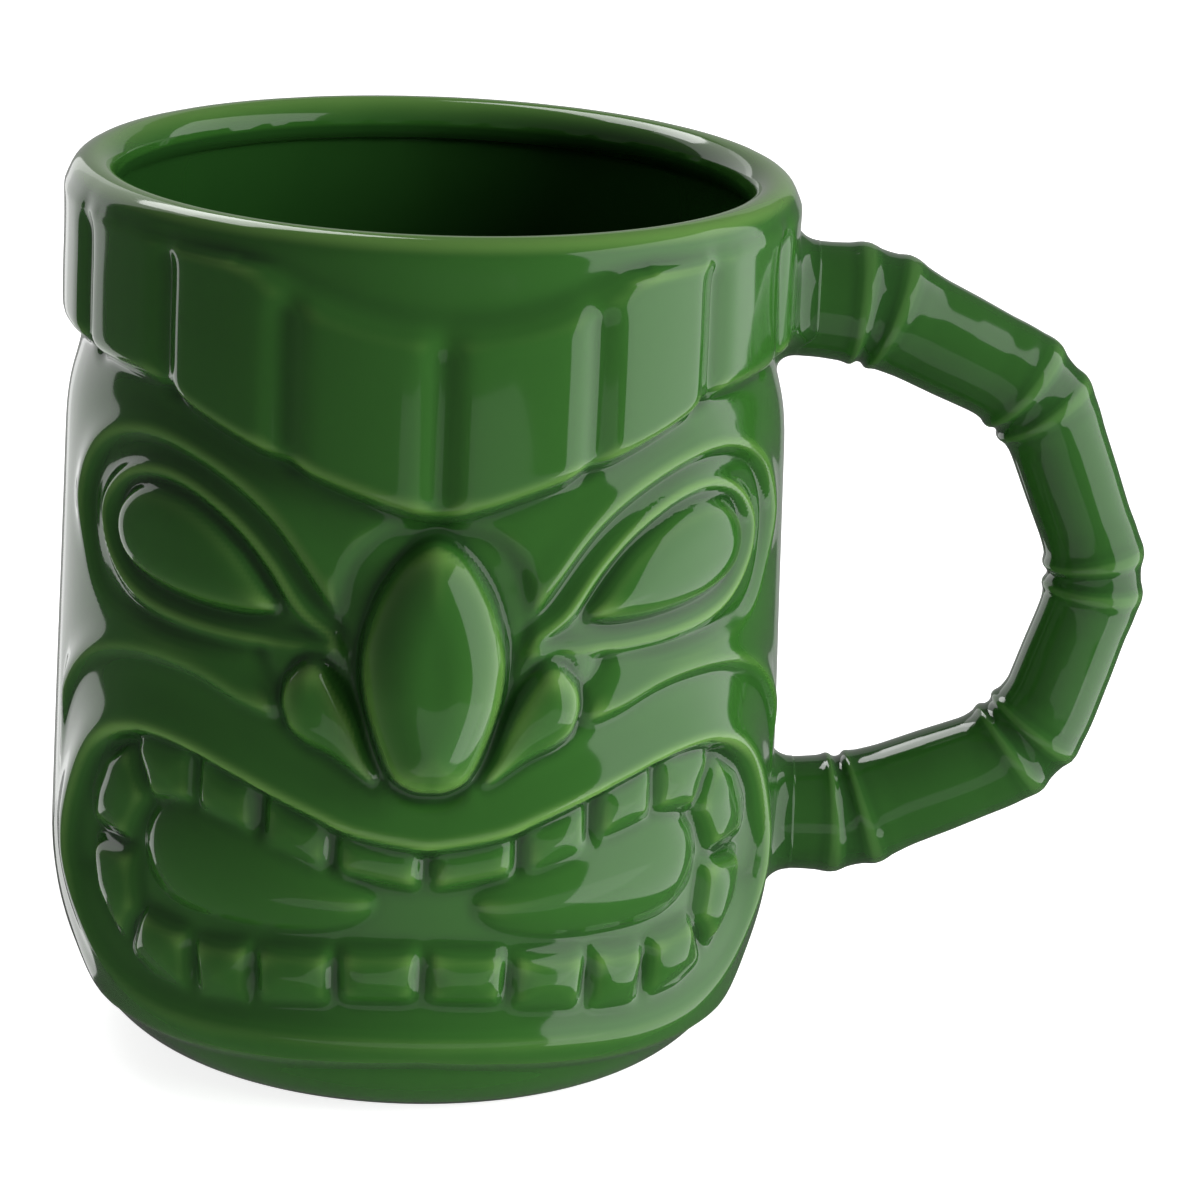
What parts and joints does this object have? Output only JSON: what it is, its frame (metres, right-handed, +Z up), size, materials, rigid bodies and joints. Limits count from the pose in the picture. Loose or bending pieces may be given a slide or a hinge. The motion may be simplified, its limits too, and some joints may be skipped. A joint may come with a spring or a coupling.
{
  "type": "tiki mug",
  "caption": "Glazed ceramic drinking mug with a carved grimacing face, a panelled headband and a bamboo-shaped side handle.",
  "frame": {"origin": "centre of the foot ring, on the mug's axis, at the plane it stands on", "axes": "+Z up along the mug's axis, +X towards the handle, -Y towards the carved face"},
  "size_m": [0.1515, 0.1088, 0.122],
  "materials": {
    "green_glaze": "gloss"
  },
  "bodies": {
    "root": {"mug_body": "green_glaze", "handle": "green_glaze", "upper_luting_joint": "green_glaze", "lower_luting_joint": "green_glaze"}
  },
  "joints": []
}
